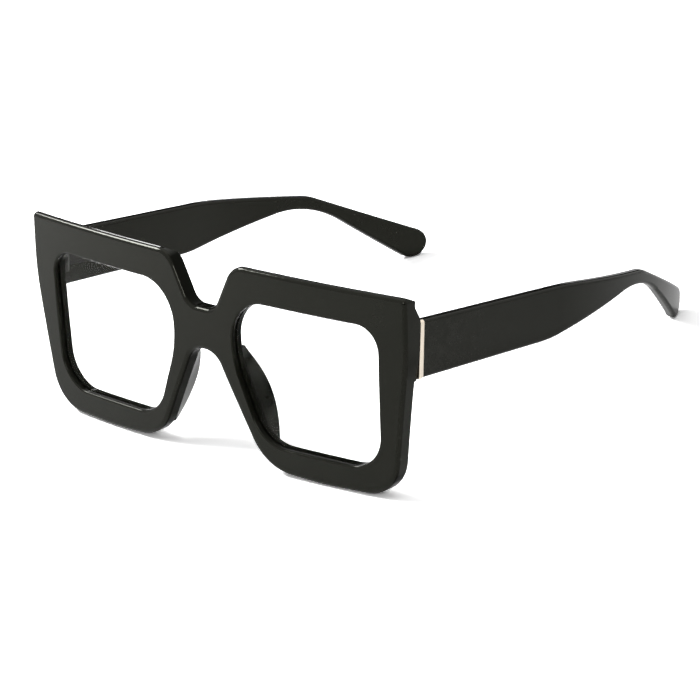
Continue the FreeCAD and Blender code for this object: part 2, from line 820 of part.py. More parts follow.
def make_temple_leaf():
    """Recessed plate on the temple's inner face with the middle knuckle."""
    zero = as_size(0)
    gap = size("temple_inner_gap")
    half = size("middle_knuckle_half")
    tall = size("temple_leaf_half_height")
    start = size("temple_leaf_start")
    inset = gap + size("temple_leaf_thickness")
    plate = box("temple_leaf_plate", (gap, start, -tall), (inset, start + size("temple_leaf_length"), tall))
    web = box("temple_web", (zero, start, -half), (inset, size("knuckle_radius"), half))
    knuckle = cylinder("temple_knuckle", size("knuckle_radius"), half * 2, (zero, zero, -half))
    solid = fuse("temple_leaf_solid", [plate, web, knuckle])
    bore_radius = size("screw_radius") + size("screw_clearance")
    bore = cylinder("temple_leaf_bore", bore_radius, half * 2, (zero, zero, -half))
    holes = [temple_rivet("temple_leaf_hole_first", 0), temple_rivet("temple_leaf_hole_second", 1)]
    leaf = cut("temple_hinge_leaf_right", solid, fuse("temple_leaf_holes", [bore] + holes))
    leaf.Placement = temple_place()
    return leaf


def make_temple_rivets():
    pair = [temple_rivet("temple_rivet_near", 0), temple_rivet("temple_rivet_far", 1)]
    pins = group("temple_hinge_rivets_right", pair)
    pins.Placement = temple_place()
    return pins


def temple_start():
    return size("trim_gap") + size("trim_thickness") - size("axis_setback")


def make_trim():
    """Gold end cap between the end piece and the temple."""
    body = new_body("temple_trim_right")
    proud = size("trim_proud")
    inner = size("temple_inner_gap") - proud
    outer = size("temple_inner_gap") + size("temple_thickness") + proud
    place = Placement(Vector(0, 0, -temple_start().value), Rotation())
    plan = new_sketch(body, "trim_plan", "XZ_Plane", place)
    low = -size("temple_under") - proud
    high = size("temple_top") + proud
    rounded_outline(plan, rectangle(inner, outer, low, high, size("temple_edge_radius")))
    pad(body, "trim_plate", plan, size("trim_thickness"))
    fillet(body, "trim_edges", lambda s, e: faces_across(s, e), size("trim_edge_radius"))
    body.Placement = temple_place()
    DOC.recompute()
    return body


def faces_across(shape, edge):
    """Edges between an end face, which looks along Y, and a side."""
    turns = [abs(normal.y) for normal in normals_beside(shape, edge)]
    return len(turns) == 2 and max(turns) > 0.9 and min(turns) < 0.1


def make_temple_blank():
    """The temple cut from a bent band: a plan with its toe-in and a side outline with its ear bend."""
    body = new_body("temple_blank_right")
    start = temple_start()
    inner = size("temple_inner_gap")
    thick = size("temple_thickness")
    outer = inner + thick
    toe = size("toe_reach")
    sweep = size("toe_sweep")
    wide = size("toe_radius") + thick / 2
    tight = size("toe_radius") - thick / 2
    hub = inner + thick / 2 - size("toe_radius")
    half_turn = tan_of(sweep / 2)
    run = size("cut_margin")
    end_x = hub - run * sin_of(sweep)
    end_y = toe + run * cos_of(sweep)
    plan = new_sketch(body, "temple_plan", "XY_Plane")
    rounded_outline(plan, [
        (inner, start, None),
        (outer, start, None),
        (outer, toe + wide * half_turn, wide),
        (end_x + wide * cos_of(sweep), end_y + wide * sin_of(sweep), None),
        (end_x + tight * cos_of(sweep), end_y + tight * sin_of(sweep), None),
        (inner, toe + tight * half_turn, tight),
    ])
    tall = size("tip_foot_drop") + size("cut_margin")
    pad(body, "temple_band", plan, tall * 2, both=True)
    margin = size("cut_margin")
    side = new_sketch(body, "temple_side", "YZ_Plane")
    low = start - margin
    far = size("toe_reach") + size("toe_radius")
    rounded_outline(side, rectangle(low - margin, far, -tall - margin, tall + margin))
    rounded_outline(side, [
        (low, -size("temple_under"), None),
        (size("knee_reach"), -size("knee_under"), size("knee_radius")),
        (size("bend_under_reach"), size("bend_under"), size("bend_under_radius")),
        (size("tip_foot_reach"), -size("tip_foot_drop"), size("tip_radius")),
        (size("tip_reach"), -size("tip_top_drop"), size("tip_radius")),
        (size("bend_reach"), size("bend_top"), size("bend_radius")),
        (size("taper_reach"), size("temple_top"), size("taper_radius")),
        (low, size("temple_top"), None),
    ])
    pocket_through(body, "temple_trimming", side, both=True)

    def long_edges(shape, edge):
        normals = normals_beside(shape, edge)
        if len(normals) != 2:
            return False
        ends = [n for n in normals if n.y < -0.99 and abs(n.z) < 0.01]
        sides = [n for n in normals if abs(n.z) < 0.01 and abs(n.x) > 0.5]
        rims = [n for n in normals if abs(n.x) < 0.01]
        return not ends and len(sides) == 1 and len(rims) == 1

    fillet(body, "temple_edges", long_edges, size("temple_edge_radius"))
    body.Placement = temple_place()
    DOC.recompute()
    return body


def temple_middle(reach):
    """Across position of the temple's middle plane at a distance behind the hinge axis."""
    straight = num("temple_inner_gap") + num("temple_thickness") / 2
    past = max(0.0, reach - num("toe_reach"))
    return straight - num("toe_radius") + math.sqrt(num("toe_radius") ** 2 - past ** 2)


def temple_level(reach):
    """Height of the middle between the temple's upper and lower edges at a distance behind the axis."""
    upper = [(0.0, num("temple_top")), (num("taper_reach"), num("temple_top")),
             (num("bend_reach"), num("bend_top")), (num("tip_reach"), -num("tip_top_drop"))]
    lower = [(0.0, -num("temple_under")), (num("knee_reach"), -num("knee_under")),
             (num("bend_under_reach"), num("bend_under")), (num("tip_foot_reach"), -num("tip_foot_drop"))]
    levels = []
    for edge in (upper, lower):
        for (a, high), (b, low) in zip(edge, edge[1:]):
            if a <= reach <= b:
                levels.append(high + (low - high) * (reach - a) / (b - a))
                break
    return sum(levels) / 2


def tangent_path(points, radius):
    """Straight runs through the points, joined by arcs of one radius."""
    edges = []
    last = points[0]
    for before, corner, after in zip(points, points[1:], points[2:]):
        way_in = (corner - before).normalize()
        way_out = (after - corner).normalize()
        turn = way_in.getAngle(way_out)
        run = radius * math.tan(turn / 2)
        first = corner - way_in * run
        second = corner + way_out * run
        inward = (way_out - way_in).normalize()
        middle = corner + inward * (radius / math.cos(turn / 2) - radius)
        edges.append(Part.LineSegment(last, first).toShape())
        edges.append(Part.Arc(first, middle, second).toShape())
        last = second
    edges.append(Part.LineSegment(last, points[-1]).toShape())
    return Part.Wire(edges)


def make_core_wire():
    """Wire inside the temple from behind the hinge leaf to the tip, along the temple's middle."""
    bend = num("bend_reach")
    toe = num("toe_reach")
    end = num("core_wire_end")
    lead = bend - num("core_wire_bend_lead")
    stops = [num("core_wire_start"), toe, (toe + bend) / 2, lead, (bend + end) / 2, end]
    points = [Vector(temple_middle(y), y, temple_level(y)) for y in stops]
    path = tangent_path(points, num("core_wire_bend_radius"))
    first = path.Edges[0]
    way = first.tangentAt(first.FirstParameter)
    ring = Part.Wire(Part.Circle(points[0], way, num("core_wire_radius")).toShape())
    tube = path.makePipeShell([ring], True, False)
    wire = DOC.addObject("Part::Feature", "core_wire_right")
    wire.Shape = tube
    wire.Label = "core_wire_right"
    wire.Placement = temple_place()
    return wire


def between(start, end, share):
    return start + (end - start) * share


def pad_section(level, depth):
    """One level of the nose pad fin: a tapered section from the rim's back to a rounded ridge."""
    saddle = saddle_level().value
    down = (saddle - level) / (saddle - num("nasal_foot_rise"))
    nasal = between(num("saddle_half"), num("nasal_foot_reach"), max(down, 0.0)) + num("pad_side_inset")
    knee = opening_knee().value
    fall = (knee - level) / (knee - num("chin_band"))
    rim = between(num("opening_nasal_reach"), num("opening_nasal_foot"), max(fall, 0.0))
    lens = rim - num("pad_side_inset")
    seat = num("front_thickness") + num("pad_glue_gap")
    back = face_depth(rim, level) + seat
    ridge = num("pad_ridge_radius")
    hub = Vector(rim - num("pad_ridge_inset"), back + depth - ridge, level)
    turn = math.radians(num("pad_ridge_turn"))
    spots = [hub + Vector(math.cos(a), math.sin(a), 0) * ridge for a in (0, turn / 2, turn)]
    low_nasal = Vector(nasal, face_depth(nasal, level) + seat, level)
    low_lens = Vector(lens, face_depth(lens, level) + seat, level)
    edges = [
        Part.LineSegment(low_nasal, low_lens).toShape(),
        Part.LineSegment(low_lens, spots[0]).toShape(),
        Part.Arc(*spots).toShape(),
        Part.LineSegment(spots[2], low_nasal).toShape(),
    ]
    return Part.Wire(edges)


def make_nose_pad():
    """The right nose pad: a fin cemented to the back of the rim, lofted in the front's own axes."""
    full = num("pad_depth")
    top = saddle_level().value + num("pad_top_rise")
    wires = []
    for down, share in PAD_PROFILE:
        wires.append(pad_section(between(top, num("pad_bottom"), down), full * share))
    fin = DOC.addObject("Part::Feature", "nose_pad_right")
    fin.Shape = Part.makeLoft(wires, True, False)
    fin.Label = "nose_pad_right"
    fin.Placement = front_frame_place()
    return fin


def check(nodes):
    """Stop before anything is written if a feature failed or a piece isn't sound."""
    for item in DOC.Objects:
        if "Invalid" in item.State or "Error" in item.State:
            raise RuntimeError(f"{item.Name} failed: {item.State}")
    for node in nodes:
        shape = node.Shape
        if shape.isNull() or not shape.isValid() or not shape.Solids:
            raise RuntimeError(f"{node.Label} isn't a sound solid")


def main():
    fill_sheet()
    lens_right = make_lens(1, "lens_right")
    lens_left = mirrored(lens_right, "lens_left")
    leaf = make_front_leaf()
    leaf_left = mirrored(leaf, "front_hinge_leaf_left")
    rivets = make_front_rivets()
    rivets_left = mirrored(rivets, "front_hinge_rivets_left")
    front = make_front()

    temple_leaf = make_temple_leaf()
    temple_rivets = make_temple_rivets()
    wire = make_core_wire()
    arm = cut("temple_wired", make_temple_blank(), wire)
    arm = cut("temple_seated", arm, temple_leaf)
    temple = cut("temple_right", arm, temple_rivets)
    screw = make_screw()
    trim = make_trim()
    nose_pad = make_nose_pad()
    DOC.recompute()

    rights = [temple, temple_leaf, temple_rivets, wire, screw, trim, nose_pad]
    lefts = [mirrored(item, item.Label.replace("right", "left")) for item in rights]
    DOC.recompute()
    nodes = [front, lens_right, lens_left, leaf, leaf_left, rivets, rivets_left] + rights + lefts
    check(nodes)
    os.makedirs("parts", exist_ok=True)
    for node in nodes:
        node.Shape.exportStep(f"parts/{node.Label}.step")
        reach = node.Shape.BoundBox
        limits = (reach.XMin, reach.XMax, reach.YMin, reach.YMax, reach.ZMin, reach.ZMax)
        print(node.Label, round(node.Shape.Volume, 2), "mm3", [round(v, 2) for v in limits])
    return nodes


main()
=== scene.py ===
import logging
import math
from dataclasses import dataclass
from enum import Enum
from functools import cached_property
from typing import Any, ClassVar, Sequence, Tuple, Union

import bpy
from mathutils import Matrix, Vector

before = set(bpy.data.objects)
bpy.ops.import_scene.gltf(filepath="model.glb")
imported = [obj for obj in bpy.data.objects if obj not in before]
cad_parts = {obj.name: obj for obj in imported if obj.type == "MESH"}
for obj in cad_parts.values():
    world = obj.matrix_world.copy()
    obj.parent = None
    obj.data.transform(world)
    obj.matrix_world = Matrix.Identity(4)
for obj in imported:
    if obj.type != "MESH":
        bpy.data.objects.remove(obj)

LOG = logging.getLogger("oversized_glasses")
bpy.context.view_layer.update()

Colour = Tuple[float, float, float]
Point = Tuple[float, float, float]
Range = Tuple[float, float]
Socket = bpy.types.NodeSocket
NodeGroup = bpy.types.NodeTree


class Side(Enum):
    """The wearer's two sides, with the sign of X on each."""

    RIGHT = 1
    LEFT = -1

    @property
    def word(self) -> str:
        """The side's word in the part names."""
        return self.name.lower()


class Ray(Enum):
    """Light Path outputs that see the white surroundings."""

    CAMERA = "Is Camera Ray"
    GLOSSY = "Is Glossy Ray"
    TRANSMISSION = "Is Transmission Ray"


class Graph:
    """A node tree with short calls to add nodes and fill their sockets."""

    MIX_COLOUR_INPUTS = (0, 6, 7)
    MIX_COLOUR_OUTPUT = 2

    def __init__(self, tree: bpy.types.NodeTree) -> None:
        """Keep the tree that the nodes go into.

        Args:
            tree: a material's, world's or group's node tree.
        """
        self.tree = tree

    def add(self, kind: str, **settings: Any) -> bpy.types.Node:
        """Add a node and set its properties.

        Args:
            kind: Blender's class name of the node.
            settings: properties of the node by name.

        Returns:
            The new node.
        """
        node = self.tree.nodes.new(kind)
        for name, value in settings.items():
            setattr(node, name, value)
        return node

    def put(self, socket: Socket, value: Any) -> None:
        """Link an output to an input, or give the input a fixed value.

        Args:
            socket: the input.
            value: an output, a number, a vector or a colour.
        """
        if isinstance(value, bpy.types.NodeSocket):
            self.tree.links.new(value, socket)
        else:
            socket.default_value = value

    def feed(self, node: bpy.types.Node, **values: Any) -> bpy.types.Node:
        """Fill a node's inputs by name.

        Args:
            node: the node whose inputs are set.
            values: input names with spaces written as underscores.

        Returns:
            The same node.
        """
        for name, value in values.items():
            self.put(node.inputs[name.replace("_", " ")], value)
        return node

    def math(self, operation: str, first: Any, second: Any = 0.0, clamp: bool = False) -> Socket:
        """Work out one number from two.

        Args:
            operation: the Math node's operation.
            first: a number or an output.
            second: a number or an output.
            clamp: keep the result between 0 and 1.

        Returns:
            The result's socket.
        """
        node = self.add("ShaderNodeMath", operation=operation, use_clamp=clamp)
        for socket, value in zip(node.inputs, (first, second)):
            self.put(socket, value)
        return node.outputs[0]

    def product(self, first: Socket, *others: Socket) -> Socket:
        """Multiply any number of masks.

        Args:
            first: the first mask.
            others: the rest.

        Returns:
            The product's socket.
        """
        for other in others:
            first = self.math("MULTIPLY", first, other)
        return first

    def layered(self, base: float, *layers: Tuple[Socket, float]) -> Socket:
        """Add weighted masks to a base value and keep the sum between 0 and 1.

        Args:
            base: the value without any mask.
            layers: each mask with its weight.

        Returns:
            The sum's socket.
        """
        total: Any = base
        for count, (mask, weight) in enumerate(layers, 1):
            total = self.math("ADD", total, self.math("MULTIPLY", mask, weight), count == len(layers))
        return total

    def span(self, value: Socket, low: float, high: float, start: float = 0.0, end: float = 1.0) -> Socket:
        """Map a range of a value onto another range, kept within it.

        Args:
            value: the output to map.
            low: the value that maps to start.
            high: the value that maps to end.
            start: result at low.
            end: result at high.

        Returns:
            The mapped value's socket.
        """
        node = self.add("ShaderNodeMapRange", clamp=True)
        self.feed(node, Value=value, From_Min=low, From_Max=high, To_Min=start, To_Max=end)
        return node.outputs["Result"]

    def blend(self, share: Socket, first: Any, second: Any) -> Socket:
        """Mix two colours.

        Args:
            share: how much of the second colour.
            first: a colour or an output.
            second: a colour or an output.

        Returns:
            The mixed colour's socket.
        """
        node = self.add("ShaderNodeMix", data_type="RGBA", blend_type="MIX")
        for index, value in zip(self.MIX_COLOUR_INPUTS, (share, first, second)):
            self.put(node.inputs[index], (*value, 1.0) if isinstance(value, tuple) else value)
        return node.outputs[self.MIX_COLOUR_OUTPUT]

    def noise(self, where: Socket, scale: Any, detail: float, roughness: float = 0.5) -> Socket:
        """Soft three-dimensional noise.

        Args:
            where: the coordinates.
            scale: features per metre, a number or an output.
            detail: octaves.
            roughness: weight of the fine octaves.

        Returns:
            The noise value's socket, around 0.5.
        """
        node = self.add("ShaderNodeTexNoise")
        self.feed(node, Vector=where, Scale=scale, Detail=detail, Roughness=roughness)
        return node.outputs[0]

    def spot(self) -> Socket:
        """Coordinates on the part, in metres.

        Returns:
            The coordinates.
        """
        return self.add("ShaderNodeTexCoord").outputs["Object"]

    def sized(self, where: Socket, scale: Socket) -> Socket:
        """Scale coordinates evenly.

        Args:
            where: the coordinates.
            scale: the factor.

        Returns:
            The new coordinates.
        """
        node = self.add("ShaderNodeVectorMath", operation="SCALE")
        self.put(node.inputs[0], where)
        self.put(node.inputs["Scale"], scale)
        return node.outputs[0]

    def stretched(self, where: Socket, turn: Sequence[float], scale: Sequence[float]) -> Socket:
        """Turn coordinates back by some angles, then stretch them.

        Args:
            where: the coordinates.
            turn: angles in degrees about X, Y and Z.
            scale: factors along the turned X, Y and Z.

        Returns:
            The new coordinates.
        """
        node = self.add("ShaderNodeMapping", vector_type="TEXTURE")
        node.inputs["Rotation"].default_value = [math.radians(angle) for angle in turn]
        node.inputs["Scale"].default_value = [1.0 / factor for factor in scale]
        self.put(node.inputs["Vector"], where)
        return node.outputs["Vector"]

    def parts(self, vector: Socket) -> bpy.types.NodeOutputs:
        """Take a vector apart.

        Args:
            vector: the vector's socket.

        Returns:
            The outputs X, Y and Z.
        """
        node = self.add("ShaderNodeSeparateXYZ")
        self.put(node.inputs[0], vector)
        return node.outputs

    def surface(self, word: str) -> Socket:
        """A fact about the surface.

        Args:
            word: the Geometry node's output.

        Returns:
            That output.
        """
        return self.add("ShaderNodeNewGeometry").outputs[word]

    def effect(self, group: NodeGroup, **values: float) -> Socket:
        """Place a shared effect with its own values.

        Args:
            group: the effect.
            values: the effect's inputs.

        Returns:
            The effect's mask.
        """
        node = self.add("ShaderNodeGroup", node_tree=group)
        return self.feed(node, **values).outputs[0]

    def relief(self, height: Socket, strength: float, depth: float) -> Socket:
        """Raise a surface by a mask.

        Args:
            height: the mask.
            strength: share of the effect.
            depth: real height of the mask in metres.

        Returns:
            The new normal.
        """
        bump = self.add("ShaderNodeBump")
        return self.feed(bump, Height=height, Strength=strength, Distance=depth).outputs["Normal"]


class MaskGroup:
    """A shader node group in the making, with numbers in and one mask out."""

    OUTPUT = "Mask"

    def __init__(self, name: str, **defaults: float) -> None:
        """Start the group with its sockets.

        Args:
            name: the group's name.
            defaults: its number inputs with their default values, Amount among them.
        """
        tree = bpy.data.node_groups.new(name, "ShaderNodeTree")
        for word, value in defaults.items():
            socket = tree.interface.new_socket(name=word, in_out="INPUT", socket_type="NodeSocketFloat")
            socket.default_value = value
        tree.interface.new_socket(name=self.OUTPUT, in_out="OUTPUT", socket_type="NodeSocketFloat")
        self.graph = Graph(tree)
        self.given = self.graph.add("NodeGroupInput").outputs
        self.leave = self.graph.add("NodeGroupOutput").inputs

    def finish(self, *masks: Socket) -> NodeGroup:
        """Put out the product of some masks, weighted by the Amount input.

        Args:
            masks: the masks to multiply.

        Returns:
            The finished group.
        """
        total = self.graph.product(*masks)
        total = self.graph.math("MULTIPLY", total, self.given["Amount"], True)
        self.graph.put(self.leave[self.OUTPUT], total)
        return self.graph.tree


class Effects:
    """Shader node groups that several finishes share, each built at its first use.

    Scales are features per metre, ranges are where a mask starts and where it is full.
    """

    SCRATCH_TURNS = ((12, -38, 40), (70, -32, 126), (-35, -40, -36))
    SCRATCH_STRETCH = (2600.0, 90.0, 120.0)
    SCRATCH_RANGE: Range = (0.66, 0.74)
    SCRATCH_PATCH_SCALE = 45.0
    SCRATCH_PATCH_RANGE: Range = (0.42, 0.66)

    SMEAR_FACTOR = 9.0
    BROAD_SHARE = 0.7
    SMEAR_SHARE = 0.3
    CLOUD_RANGE: Range = (0.36, 0.66)

    EDGE_RANGE: Range = (0.54, 0.62)
    EDGE_BREAK_RANGE: Range = (0.4, 0.62)

    SPECK_RANGE: Range = (0.05, 0.13)
    SPECK_PATCH_SCALE = 700.0
    SPECK_PATCH_RANGE: Range = (0.6, 0.64)
    UPWARD_RANGE: Range = (-0.2, 0.9)
    UNDERSIDE_SHARE = 0.25

    BRUSH_STRETCH = (7000.0, 7000.0, 260.0)

    WALL_LEAN_RANGE: Range = (0.4, 0.75)
    WALL_LIMITS = (("X", -0.0691, 0.0691), ("Z", 0.0055, 0.0585))
    WALL_FADE = 0.001

    @cached_property
    def hairlines(self) -> NodeGroup:
        """Fine handling scratches in three directions, none of them square to a main face.

        Returns:
            The group, with Scale and Amount in and Mask out.
        """
        group = MaskGroup("handling_hairlines", Scale=1.0, Amount=0.5)
        graph = group.graph
        where = graph.sized(graph.spot(), group.given["Scale"])
        lines: Any = 0.0
        for turn in self.SCRATCH_TURNS:
            along = graph.stretched(where, turn, self.SCRATCH_STRETCH)
            line = graph.span(graph.noise(along, 1.0, detail=2.0), *self.SCRATCH_RANGE)
            lines = graph.math("MAXIMUM", lines, line)
        patches = graph.noise(where, self.SCRATCH_PATCH_SCALE, detail=3.0)
        return group.finish(lines, graph.span(patches, *self.SCRATCH_PATCH_RANGE))

    @cached_property
    def polish_cloud(self) -> NodeGroup:
        """Uneven polish: broad soft clouds with a little finger-smear breakup.

        Returns:
            The group, with Scale and Amount in and Mask out.
        """
        group = MaskGroup("polish_cloud", Scale=60.0, Amount=0.5)
        graph = group.graph
        where = graph.spot()
        scale = group.given["Scale"]
        broad = graph.noise(where, scale, detail=3.0, roughness=0.55)
        fine_scale = graph.math("MULTIPLY", scale, self.SMEAR_FACTOR)
        fine = graph.noise(where, fine_scale, detail=4.0, roughness=0.6)
        broad = graph.math("MULTIPLY", broad, self.BROAD_SHARE)
        fine = graph.math("MULTIPLY", fine, self.SMEAR_SHARE)
        return group.finish(graph.span(graph.math("ADD", broad, fine), *self.CLOUD_RANGE))

    @cached_property
    def edge_wear(self) -> NodeGroup:
        """Rubbed convex edges, broken up by noise.

        Returns:
            The group, with Amount and Scale in and Mask out.
        """
        group = MaskGroup("rubbed_edges", Amount=0.5, Scale=300.0)
        graph = group.graph
        sharp = graph.span(graph.surface("Pointiness"), *self.EDGE_RANGE)
        breaks = graph.noise(graph.spot(), group.given["Scale"], detail=5.0, roughness=0.65)
        return group.finish(sharp, graph.span(breaks, *self.EDGE_BREAK_RANGE))

    @cached_property
    def specks(self) -> NodeGroup:
        """Sparse dust specks, more of them on faces that look up.

        Returns:
            The group, with Scale and Amount in and Mask out.
        """
        group = MaskGroup("dust_specks", Scale=900.0, Amount=0.3)
        graph = group.graph
        where = graph.spot()
        cells = graph.feed(graph.add("ShaderNodeTexVoronoi"), Vector=where, Scale=group.given["Scale"])
        dots = graph.span(cells.outputs["Distance"], *self.SPECK_RANGE, 1.0, 0.0)
        patches = graph.noise(where, self.SPECK_PATCH_SCALE, detail=2.0)
        thinned = graph.span(patches, *self.SPECK_PATCH_RANGE)
        facing = graph.parts(graph.surface("Normal"))
        upward = graph.span(facing["Z"], *self.UPWARD_RANGE, self.UNDERSIDE_SHARE, 1.0)
        return group.finish(dots, thinned, upward)

    @cached_property
    def brushing(self) -> NodeGroup:
        """Fine parallel lines of a brushed or drawn metal.

        Returns:
            The group, with Scale and Amount in and Mask out.
        """
        group = MaskGroup("brushed_lines", Scale=1.0, Amount=0.5)
        graph = group.graph
        where = graph.sized(graph.spot(), group.given["Scale"])
        lines = graph.stretched(where, (0, 0, 0), self.BRUSH_STRETCH)
        return group.finish(graph.noise(lines, 1.0, detail=3.0, roughness=0.6))

    @cached_property
    def opening_walls(self) -> NodeGroup:
        """The walls inside the rims and the notch, which buffing wheels hardly reach.

        Returns:
            The group, with Amount in and Mask out.
        """
        group = MaskGroup("opening_walls", Amount=0.8)
        graph = group.graph
        place = graph.parts(graph.spot())
        facing = graph.parts(graph.surface("Normal"))
        lean = graph.math("ABSOLUTE", facing["Y"])
        masks = [graph.span(lean, *self.WALL_LEAN_RANGE, 1.0, 0.0)]
        for word, low, high in self.WALL_LIMITS:
            masks.append(graph.span(place[word], low - self.WALL_FADE, low))
            masks.append(graph.span(place[word], high, high + self.WALL_FADE, 1.0, 0.0))
        return group.finish(*masks)


EFFECTS = Effects()


def blank_material(name: str) -> Tuple[bpy.types.Material, Graph]:
    """Make a material with no nodes.

    Args:
        name: the material's name.

    Returns:
        The material and its graph.
    """
    material = bpy.data.materials.new(name)
    material.use_nodes = True
    material.node_tree.nodes.clear()
    return material, Graph(material.node_tree)


def new_material(name: str) -> Tuple[bpy.types.Material, Graph, bpy.types.Node]:
    """Make a material with only its shader and output.

    Args:
        name: the material's name.

    Returns:
        The material, its graph and its Principled BSDF.
    """
    material, graph = blank_material(name)
    shader = graph.add("ShaderNodeBsdfPrincipled")
    graph.feed(graph.add("ShaderNodeOutputMaterial"), Surface=shader.outputs[0])
    return material, graph, shader


@dataclass(frozen=True)
class PolishedPlastic:
    """Tumbled and buffed black plastic with handling marks."""

    CLOUD_SCALE: ClassVar[float] = 70.0
    SCRATCH_AMOUNT: ClassVar[float] = 0.6
    WEAR_AMOUNT: ClassVar[float] = 0.55
    WEAR_SCALE: ClassVar[float] = 420.0
    DUST_SCALE: ClassVar[float] = 900.0
    DUST_COLOUR: ClassVar[Colour] = (0.32, 0.31, 0.29)
    SCRATCH_HAZE: ClassVar[float] = 0.12
    WEAR_HAZE: ClassVar[float] = 0.1
    DUST_HAZE: ClassVar[float] = 0.5
    CLOUD_HEIGHT: ClassVar[float] = 0.35
    RELIEF_STRENGTH: ClassVar[float] = 0.25
    RELIEF_DEPTH: ClassVar[float] = 0.00002

    name: str
    deep: Colour
    cloud: Colour
    rubbed: Colour
    roughness: float
    haze: float
    specular: float
    dust: float = 0.12
    ior: float = 1.49
    sheen: Colour = (0.98, 1.0, 0.84)

    def shine(self, graph: Graph) -> Any:
        """How strongly the surface mirrors: one value all over.

        Args:
            graph: the material's graph.

        Returns:
            A number, or an output where it differs from place to place.
        """
        return self.specular

    def build(self) -> bpy.types.Material:
        """Make the material.

        Returns:
            The finished material.
        """
        material, graph, shader = new_material(self.name)
        cloud = graph.effect(EFFECTS.polish_cloud, Scale=self.CLOUD_SCALE, Amount=1.0)
        lines = graph.effect(EFFECTS.hairlines, Scale=1.0, Amount=self.SCRATCH_AMOUNT)
        worn = graph.effect(EFFECTS.edge_wear, Amount=self.WEAR_AMOUNT, Scale=self.WEAR_SCALE)
        dust = graph.effect(EFFECTS.specks, Scale=self.DUST_SCALE, Amount=self.dust)
        tone = graph.blend(cloud, self.deep, self.cloud)
        tone = graph.blend(worn, tone, self.rubbed)
        tone = graph.blend(dust, tone, self.DUST_COLOUR)
        rough = graph.layered(
            self.roughness,
            (cloud, self.haze),
            (lines, self.SCRATCH_HAZE),
            (worn, self.WEAR_HAZE),
            (dust, self.DUST_HAZE),
        )
        marks = graph.math("SUBTRACT", graph.math("MULTIPLY", cloud, self.CLOUD_HEIGHT), lines)
        normal = graph.relief(graph.math("ADD", marks, dust), self.RELIEF_STRENGTH, self.RELIEF_DEPTH)
        graph.feed(shader, Base_Color=tone, Roughness=rough, IOR=self.ior, Normal=normal)
        graph.feed(shader, Specular_IOR_Level=self.shine(graph), Specular_Tint=(*self.sheen, 1.0))
        return material


@dataclass(frozen=True)
class FrontPlastic(PolishedPlastic):
    """The same plastic on the front, with duller walls in the openings and the notch."""

    wall_loss: float = 0.85

    def shine(self, graph: Graph) -> Any:
        """How strongly the surface mirrors: less inside the openings.

        Args:
            graph: the material's graph.

        Returns:
            The output that gives it.
        """
        walls = graph.effect(EFFECTS.opening_walls, Amount=self.wall_loss)
        return graph.math("MULTIPLY", graph.math("SUBTRACT", 1.0, walls), self.specular)


@dataclass(frozen=True)
class ClearLens:
    """Untinted, coated lens with hardly a reflection, a trace of smear and a few specks."""

    SMEAR_SCALE: ClassVar[float] = 50.0
    SMEAR_HAZE: ClassVar[float] = 0.012
    SCRATCH_SCALE: ClassVar[float] = 0.8
    SCRATCH_AMOUNT: ClassVar[float] = 0.5
    SCRATCH_HAZE: ClassVar[float] = 0.05
    DUST_SCALE: ClassVar[float] = 700.0
    DUST_AMOUNT: ClassVar[float] = 0.1
    DUST_COLOUR: ClassVar[Colour] = (0.9, 0.9, 0.88)
    DUST_HAZE: ClassVar[float] = 0.2

    name: str
    tint: Colour
    ior: float
    coating: float = 0.2

    def build(self) -> bpy.types.Material:
        """Make the material.

        Returns:
            The finished material.
        """
        material, graph, shader = new_material(self.name)
        smear = graph.effect(EFFECTS.polish_cloud, Scale=self.SMEAR_SCALE, Amount=1.0)
        lines = graph.effect(EFFECTS.hairlines, Scale=self.SCRATCH_SCALE, Amount=self.SCRATCH_AMOUNT)
        dust = graph.effect(EFFECTS.specks, Scale=self.DUST_SCALE, Amount=self.DUST_AMOUNT)
        rough = graph.layered(
            0.0,
            (smear, self.SMEAR_HAZE),
            (lines, self.SCRATCH_HAZE),
            (dust, self.DUST_HAZE),
        )
        tone = graph.blend(dust, self.tint, self.DUST_COLOUR)
        graph.feed(shader, Base_Color=tone, Roughness=rough, IOR=self.ior)
        graph.feed(shader, Specular_Tint=(self.coating, self.coating, self.coating, 1.0))
        shader.inputs["Transmission Weight"].default_value = 1.0
        return material


